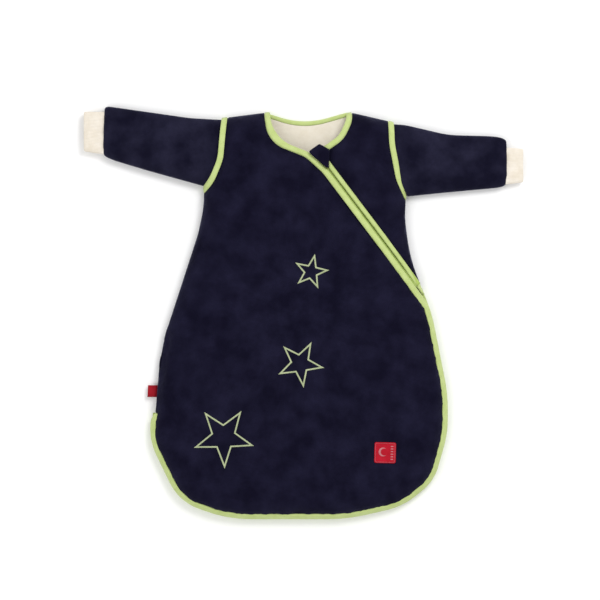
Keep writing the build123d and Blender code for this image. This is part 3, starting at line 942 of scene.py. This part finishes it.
def sleeve_rings(side):
    """Rings of points from the armhole to the cuff, rolled in at the end."""
    low, high = trace(sleeve_low[side]), trace(sleeve_high[side])
    root_line = trace(moved(armhole[side], sleeve_under_trim * outward[side]))[::-1]
    end_line = trace(sleeve_end[side])
    start = between(root_line, low, high)
    end = between(end_line, low, high)
    low, high = between(low, root_line, end_line), between(high, root_line, end_line)
    angle = np.linspace(0, 2 * math.pi, sleeve_columns, endpoint=False)
    s = (1 - np.cos(angle)) / 2
    t = 1 - (1 - np.linspace(0, 1, sleeve_rows)) ** 1.25
    plan = coons(start, end, low, high, s, t)
    left_over = norm(plan - plan[-1:], axis=2).mean(1)
    rolled = end_roll * (1 - rise(left_over, end_roll))
    centre = plan.mean(1, keepdims=True)
    width = norm(plan[:, 0] - plan[:, sleeve_columns // 2], axis=1) / 2
    plan = centre + (plan - centre) * (1 - end_gather * rolled / width)[:, None, None]
    first, last = sleeve_top_z[side]
    top = first + (last - first) * t - 0.55 * rolled
    floor = sleeve_floor_z + 0.35 * rolled
    up = np.clip(np.sin(angle), 0, 1) ** 0.72
    down = np.clip(-np.sin(angle), 0, 1) ** 0.45
    z = sleeve_mid_z + (top - sleeve_mid_z)[:, None] * up - (sleeve_mid_z - floor)[:, None] * down
    flat = plan.reshape(-1, 2)
    folds = 0.9 * unevenness(flat, 38, 2.2 + outward[side]) + 0.5 * unevenness(flat, 17, 4.4)
    for line, width, height in sleeve_ridges[side]:
        folds += ridge_scale * height * np.exp(-((nearest(flat, np.array(line, float))[0] / width) ** 2))
    distance, _, run = nearest(flat, start)
    folds += 0.8 * np.sin(run / 3.6 + 1.7 * np.sin(run / 15)) * np.exp(-distance / 13)
    distance, _, run = nearest(flat, end)
    folds += 0.9 * np.sin(run / 2.6 + 1.9 * np.sin(run / 11)) * np.exp(-distance / 15)
    z += folds.reshape(z.shape) * up * np.clip(t / 0.06, 0, 1)[:, None]
    return np.dstack([plan, z])


cuff_plan = {
    "left": ((-286, 234, 298), (-325, 240, 298)),
    "right": ((290, 190, 246), (325, 194, 243)),
}
rib_pitch, rib_depth, rib_points = 2.25, 0.3, 6
cuff_wall = 1.8


def cuff_rings(side):
    """Rings of the ribbed cuff: out along the arm, round the lip and back inside."""
    (x_in, low_in, high_in), (x_out, low_out, high_out) = cuff_plan[side]
    rows = [(f, 0.0) for f in np.linspace(0, 0.94, 12)]
    rows += [(0.97, 0.25), (0.99, 0.6), (1.0, 1.1), (0.985, 1.6)]
    rows += [(f, cuff_wall) for f in np.linspace(0.95, 0.05, 8)]
    columns = rib_points * round(2 * (high_in - low_in + cuff_z[1] - cuff_z[0]) * 0.94 / rib_pitch)
    rings = []
    for f, depth in rows:
        x = x_in + (x_out - x_in) * f
        low = low_in + (low_out - low_in) * f
        high = high_in + (high_out - high_in) * f
        half = np.array(((high - low) / 2 - depth, (cuff_z[1] - cuff_z[0]) / 2 - depth))
        ring = even(rounded_section(240, 4.5) * half, 0.5, closed=True)
        ring = along_line(np.vstack([ring, ring[:1]]), np.linspace(0, 1, columns, endpoint=False))
        out = travel(ring, closed=True)[:, ::-1] * (1, -1)
        ribs = np.cos(2 * math.pi * np.arange(columns) / rib_points) * rib_depth
        ring = ring + out * ribs[:, None]
        middle = (low + high) / 2, sum(cuff_z) / 2
        rings.append(np.column_stack([np.full(len(ring), x), ring + middle]))
    return np.array(rings)


for side in ("left", "right"):
    rings = sleeve_rings(side)
    faces = ring_faces(sleeve_rows, sleeve_columns)[:-2]
    outer = rings.reshape(-1, 3)
    inner = outer - surface_normals(outer, faces) * math.copysign(sleeve_lining_gap, -outward[side])
    sleeve = piece("sleeve_velour_" + side, outer, faces, "velour")
    # the lighter velour copy, with painted sheen
    sleeve.data.materials[0] = sleeve_sheen_velour
    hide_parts("sleeve_outer_" + side, "sleeve_head_" + side)
    jersey = piece("sleeve_jersey_" + side, inner, faces, "lining")
    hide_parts("sleeve_lining_" + side, "sleeve_head_lining_" + side)
    on_sleeve(side, sleeve, jersey)
    rings = cuff_rings(side)
    cuff = piece("rib_cuff_" + side, rings.reshape(-1, 3), ring_faces(*rings.shape[:2])[:-2], "rib_knit")
    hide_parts("cuff_" + side)
    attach(cuff, "sleeve_" + side)

# ---------------- zip
tape_depth = 4.6
tape_width, tape_thick = 6.0, 0.9
tape_gap = 0.35
tape_end = 45.0
zip_run = [(31.7, 220.3, 0), (167.7, 40.4, 0)]
tooth_depth = 4.5
tooth_gap = 1.45
tooth_pitch = 2.4
tooth_size = (2.2, 1.5, 1.5)
hem_zip_inset = 3.5
hem_tape_width, hem_tape_thick = 5.0, 1.0
hem_tooth_size = (2.2, 1.4, 0.7)


def ribbon(name, middle, across, width, thick):
    '''A flat strip of zip tape carried along stations.'''
    section = rounded_section(8, 5.0)
    points = swept(middle, across, upright(len(middle)), section, width / 2, thick / 2)
    return piece(name, points, ring_faces(len(middle), 8), "zip_tape")


def zip_side(side, sign):
    '''Tape and teeth on one side of the diagonal zip, hung below the bindings.'''
    stretch = trace(zip_run, step=3.0)
    way = unit(stretch[-1] - stretch[0])
    across = np.array((-way[1], way[0])) * sign
    depth = front_height(stretch)
    hang = 0.5 + 0.5 * rise(norm(stretch - stretch[-1], axis=1), tape_end)
    line = lifted(stretch + across * (tape_gap + tape_width / 2), depth - tape_depth * hang)
    sideways = np.tile((*across, 0.0), (len(line), 1))
    tape = ribbon("zip_tape_" + side + "_run", line, sideways, tape_width, tape_thick)
    line = even(lifted(stretch + across * tooth_gap, depth - tooth_depth * hang), tooth_pitch)
    line[:, :2] += way * tooth_pitch / 4 * sign
    sideways = np.tile((*across, 0.0), (len(line), 1))
    return tape, beads("zip_teeth_" + side, line, sideways, upright(len(line)), tooth_size, "zip_coil")


def level_across(line):
    '''The level direction across a line, to its left.'''
    way = travel(line)
    return np.column_stack([-way[:, 1], way[:, 0], np.zeros(len(way))])


def hem_zip(side, tape_z, teeth_z, skipped):
    '''Tape and teeth between the two bindings round the hem, less a few stations where it starts.'''
    line = between(outline(hem, hem_zip_inset), trace(hem_starts), trace(hem_ends))
    line = even(line)[skipped:]
    middle = lifted(line, tape_z)
    tape = ribbon("hem_tape_" + side, middle, level_across(middle), hem_tape_width, hem_tape_thick)
    middle = even(lifted(line, teeth_z), tooth_pitch)
    up = upright(len(middle))
    return tape, beads("hem_teeth_" + side, middle, level_across(middle), up, hem_tooth_size, "zip_coil")


tape, teeth = zip_side("body", 1)
stands_for("zip_tape_right", tape, "root")
stands_for("zip_coil_right", teeth, "root")
tape, teeth = zip_side("flap", -1)
stands_for("zip_tape_front", tape, "front_flap")
stands_for("zip_coil_front", teeth, "front_flap")
tape, teeth = hem_zip("body", tape_z=7.7, teeth_z=8.6, skipped=0)
stands_for("zip_tape_hem_back", tape, "root")
stands_for("zip_coil_hem_back", teeth, "root")
tape, teeth = hem_zip("flap", tape_z=10.4, teeth_z=9.5, skipped=8)
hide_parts("zip_tape_hem_front")
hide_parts("zip_coil_hem_front")
on_flap(tape, teeth)


# ---------------- decoration
def star(name, x, y, size, turn):
    '''A star outlined with a raised line of satin stitch.'''
    angle = np.radians(turn + 36 * np.arange(10))
    radius = np.where(np.arange(10) % 2, size * star_inner, size)
    path = [(x + r * math.cos(a), y + r * math.sin(a), 0) for r, a in zip(radius, angle)]
    sides = [
        np.array([p[:2] for p in moved(path, distance, closed=True)])
        for distance in (-stitch_width / 2, stitch_width / 2)
    ]
    rows = []
    for outer, inner, outer_next, inner_next in zip(*sides, *(np.roll(s, -1, axis=0) for s in sides)):
        count = round(norm(outer_next - outer) / satin_pitch)
        f = np.linspace(0, 1, count, endpoint=False)[:, None]
        rows.append(np.hstack([outer + (outer_next - outer) * f, inner + (inner_next - inner) * f]))
    rows = np.vstack(rows)
    middle = (rows[:, :2] + rows[:, 2:]) / 2
    across = (rows[:, :2] - rows[:, 2:]) / 2
    ridge = np.where(np.arange(len(rows)) % 2, 1.0, 0.82)
    section = rounded_section(12, 2.2)
    plan = middle[:, None] + across[:, None] * section[None, :, :1] * (0.94 + 0.08 * ridge[:, None, None])
    base = height_on(front_velour, middle, velour_height(middle))
    z = base[:, None] + 0.15 + section[None, :, 1] * 0.95 * ridge[:, None]
    points = np.dstack([plan, z]).reshape(-1, 3)
    return piece(name, points, ring_faces(len(rows), 12, loop=True), "embroidery")


for size, values in stars.items():
    stands_for("star_" + size, star("satin_star_" + size, *values), "front_flap")

label_at = np.array((120.0, -205.0))
label_turn = math.radians(-1.5)
label_half = (15.9, 15.4)
label_corner = 2.5
label_thick = 1.0
label_smooth = 6.0
moon_radius, moon_at = 6.6, (-3.2, 1.0)
bite_radius, bite_at = 5.1, (-1.2, 1.0)
dash_from, dash_to, dash_half = 8.0, 12.0, 0.9
dash_top, dash_pitch = 9.5, 3.8


def label_base(plan):
    """The label bridges the small hollows of the velour, so it follows a smoothed height."""
    turns = np.radians(range(0, 360, 45))
    around = [plan + label_smooth * np.array((math.cos(a), math.sin(a))) for a in turns]
    return np.mean([height_on(front_velour, p, front_height(p)) for p in around], axis=0) + 0.5


def label_place(points, lift):
    """Points given from the label's middle, laid on the velour."""
    c, s = math.cos(label_turn), math.sin(label_turn)
    plan = label_at + points[:, :1] * (c, s) + points[:, 1:2] * (-s, c)
    return lifted(plan, label_base(plan) + lift)


def raised_shape(name, loop, low, high, slot, step=1.2, soft=1.0):
    """A small flat shape on the label, closed, with a soft edge."""
    flat, faces, rim = fill(loop, step, insets=(0.3,))
    edge = nearest(flat, loop, closed=True)[0]
    top = label_place(flat, low + (high - low) * rise(edge, soft))
    return piece(name, *thickened(top, faces, rim, high), slot)


def box_path(x_low, x_high, y_low, y_high, radius, step):
    corners = (x_low, y_low), (x_high, y_low), (x_high, y_high), (x_low, y_high)
    return trace([(x, y, radius) for x, y in corners], step, True)


def arc(radius, middle):
    angle = np.radians(np.arange(40, 321, 8))[:, None]
    return np.hstack([np.cos(angle), np.sin(angle)]) * radius + middle


label_x, label_y = label_half
label_loop = box_path(-label_x, label_x, -label_y, label_y, label_corner, 1.0)
label = raised_shape("woven_patch", label_loop, 0.0, label_thick, "label_cloth")
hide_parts("woven_label")

crescent = np.vstack([arc(moon_radius, moon_at), arc(bite_radius, bite_at)[::-1]])
marks = [raised_shape("label_moon", crescent, label_thick, 1.5, "label_cloth", 0.8, 0.8)]
for i in range(6):
    y = dash_top - dash_pitch * i
    dash = box_path(dash_from, dash_to, y - dash_half, y + dash_half, 0.4, 0.6)
    name = "label_dash_%d" % (i + 1)
    marks.append(raised_shape(name, dash, label_thick, 1.4, "label_cloth", 0.6, 0.5))
border = np.vstack([label_loop, label_loop[:1]]) * 0.9
border = label_place(even(border, 1.5), label_thick + 0.05)
up = upright(len(border))
marks.append(beads("label_border", border, travel(border), up, (1.3, 0.6, 0.5), "label_cloth"))
for made in marks:
    made.data.materials[0] = label_thread
for made in [label] + marks:
    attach(made, "front_flap")


def side_tag():
    """A folded ribbon standing out of the side seam."""
    low, high = (np.array(v) * 1000 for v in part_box("side_tag"))
    middle = (low[2] + high[2]) / 2
    inside_seam = high[0] + 4
    over = [(inside_seam, 0.5), (low[0] + 4, 0.75), (low[0] + 1, 0.75)]
    loop = over + [(low[0], 0)] + [(x, -z) for x, z in over[::-1]]
    rows = []
    for f in np.linspace(0, 1, 9):
        y = low[1] + (high[1] - low[1]) * f
        wave = 0.35 * math.sin(5 * f)
        rows.append([(x + 0.8 * (f - 0.5), y, middle + z + wave) for x, z in loop])
    points = np.array(rows).reshape(-1, 3)
    return piece("woven_tag", points, ring_faces(9, len(loop)), "tag_cloth")


stands_for("side_tag", side_tag(), "root")

# ---------------- chin guard and slider
guard_loop = trace(
    [(6.5, 237.5, 3), (23.4, 249.4, 3), (38.4, 240.6, 3), (37.2, 213.5, 1), (34, 214, 1)], 1.5, True
)
guard_under, guard_top = 38.5, 39.2
guard_dome, guard_dome_reach = 2.0, 5
guard_foot = 31.0
guard_fold_x = 36.9

# Heights of the slider's parts; their outlines are along and across the zip from its middle.
slider_back = 13.0
zip_way = unit(np.subtract(zip_line[1][:2], zip_line[0][:2]))
slider_at = np.array(neck_and_zip[3][:2]) - slider_back * zip_way
lower_plate_z = (26.4, 27.8)
divider_z = (27.4, 36.8)
upper_plate_z = (36.1, 37.2)
bridge_z, bridge_reach, bridge_arch = 37.0, 4.4, 1.1
ring_z = 37.75
pull_z = (37.3, 38.3)
wings = [
    (-6.5, -4.6, 1.2), (-1.5, -5.0, 3), (6.5, -3.2, 1.4), (6.5, 2.6, 1.4), (-1.5, 4.4, 3), (-6.5, 4.0, 1.2)
]
tab = [(-17, 0.4, 1.6), (-17, 4.6, 1.6), (-12, 4.0, 4), (-7.0, 3.1, 0.8), (-7.0, 0.6, 0.8), (-12, 0.2, 4)]
tab_rib = [(-15.6, 1.5), (-15.6, 3.5), (-8.6, 2.6), (-8.6, 1.4)]


def chin_guard():
    """A small padded hood over the slider, folded out of the right front along its right edge."""
    flat, faces, rim = fill(guard_loop, 1.8, insets=(0.6, 1.4))
    edge = nearest(flat, guard_loop, closed=True)[0]
    top = guard_top + guard_dome * rise(edge, guard_dome_reach)
    under = np.where(flat[:, 0] > guard_fold_x, guard_foot, guard_under)
    solid = closed_sheet(lifted(flat, top), lifted(flat, under), faces, rim)
    return piece("chin_guard_pad", *solid, "velour")


def on_zip(flat):
    """Points given along the zip and across it from the slider's middle."""
    return slider_at + flat[:, :1] * zip_way + flat[:, 1:2] * (-zip_way[1], zip_way[0])


def plate(loop, span, soft):
    '''A plate with rounded edges between two heights.'''
    flat, faces, rim = fill(loop, 0.8, insets=(0.2, 0.5))
    edge = soft * (1 - rise(nearest(flat, loop, closed=True)[0], soft))
    place = on_zip(flat)
    return closed_sheet(lifted(place, span[1] - edge), lifted(place, span[0] + edge), faces, rim)


def bar(path, width, thick, closed=False):
    '''A rounded bar along a path of (along, across, height).'''
    path = np.asarray(path, float)
    place = lifted(on_zip(path[:, :2]), path[:, 2])
    way = travel(place, closed)
    side = unit(np.cross((0.0, 0.0, 1.0), way))
    points = swept(place, side, np.cross(way, side), rounded_section(10, 3.0), width / 2, thick / 2)
    return points, ring_faces(len(path), 10, closed)


def merged(*shapes):
    '''Several meshes as one: points and faces.'''
    points, faces = [], []
    for some, sides in shapes:
        start = sum(len(p) for p in points)
        points.append(some)
        faces += [tuple(i + start for i in f) for f in sides]
    return np.vstack(points), faces


def slider_pieces():
    '''The slider's plates, divider and bridge, and its pull tab on a ring.'''
    half_turn = np.linspace(0, math.pi, 13)
    bridge = np.column_stack([
        bridge_reach * np.cos(half_turn), 0 * half_turn, bridge_z + bridge_arch * np.sin(half_turn) ** 0.6
    ])
    body_shape = merged(
        plate(trace(wings, 0.6, True), lower_plate_z, 0.5),
        plate(box_path(-3, 3, -0.3, 0.3, 0.25, 0.3), divider_z, 0.3),
        plate(trace([(x, y * 0.86, r) for x, y, r in wings], 0.6, True), upper_plate_z, 0.45),
        bar(bridge, 1.7, 1.0),
    )
    turn = np.radians(range(0, 360, 20))
    ring = np.column_stack([-5.3 + 2.6 * np.cos(turn), 1.1 + 1.7 * np.sin(turn), ring_z + 0 * turn])
    pull_shape = merged(
        plate(trace(tab, 0.6, True), pull_z, 0.4),
        bar(ring, 0.8, 0.8, closed=True),
        bar([(x, y, pull_z[1]) for x, y in tab_rib], 0.5, 0.4, closed=True),
    )
    return piece("slider_body", *body_shape, "zip_metal"), piece("slider_pull", *pull_shape, "zip_metal")


guard = chin_guard()
stands_for("chin_guard", guard, "root")
slider, pull = slider_pieces()
stands_for("zip_slider", slider, "zip_slider")
stands_for("zip_pull", pull, "zip_slider")

# ---------------- floor, light and camera
view_centre = metres(-5.2, 19.6, 14)
view_width = 0.888
lens, sensor = 150.0, 36.0
floor_half = 4


def stage():
    '''A plain pale floor.'''
    mesh = bpy.data.meshes.new("floor")
    corners = [(x * floor_half, y * floor_half, 0) for x, y in ((-1, -1), (1, -1), (1, 1), (-1, 1))]
    mesh.from_pydata(corners, [], [(0, 1, 2, 3)])
    floor = added("floor", mesh)
    pale = bpy.data.materials.new("pale_floor")
    pale.use_nodes = True
    surface = pale.node_tree.nodes["Principled BSDF"]
    surface.inputs["Base Color"].default_value = (0.96, 0.96, 0.96, 1)
    surface.inputs["Roughness"].default_value = 0.9
    mesh.materials.append(pale)


def area_light(name, place, size, power):
    '''A round soft light aimed at the middle of the floor.'''
    lamp = bpy.data.lights.new(name, "AREA")
    lamp.shape = "DISK"
    lamp.size = size
    lamp.energy = power
    made = added(name, lamp)
    made.location = place
    made.rotation_euler = (Vector(place) * -1).to_track_quat("-Z", "Y").to_euler()


def camera():
    '''Straight above, as far as the photo's perspective asks.'''
    view = bpy.data.cameras.new("camera")
    view.lens = lens
    view.sensor_width = sensor
    made = added("camera", view)
    x, y, z = view_centre
    made.location = (x, y, z + view_width * lens / sensor)
    bpy.context.scene.camera = made


stage()
camera()
area_light("key", place=(0.9, 1.2, 2.1), size=1.1, power=26)
area_light("fill", place=(-1.1, -0.6, 2.1), size=1.7, power=12)
world = bpy.data.worlds.new("studio")
world.use_nodes = True
world.node_tree.nodes["Background"].inputs["Color"].default_value = (1, 1, 1, 1)
world.node_tree.nodes["Background"].inputs["Strength"].default_value = 0.75
bpy.context.scene.world = world
bpy.context.scene.view_settings.view_transform = "Standard"
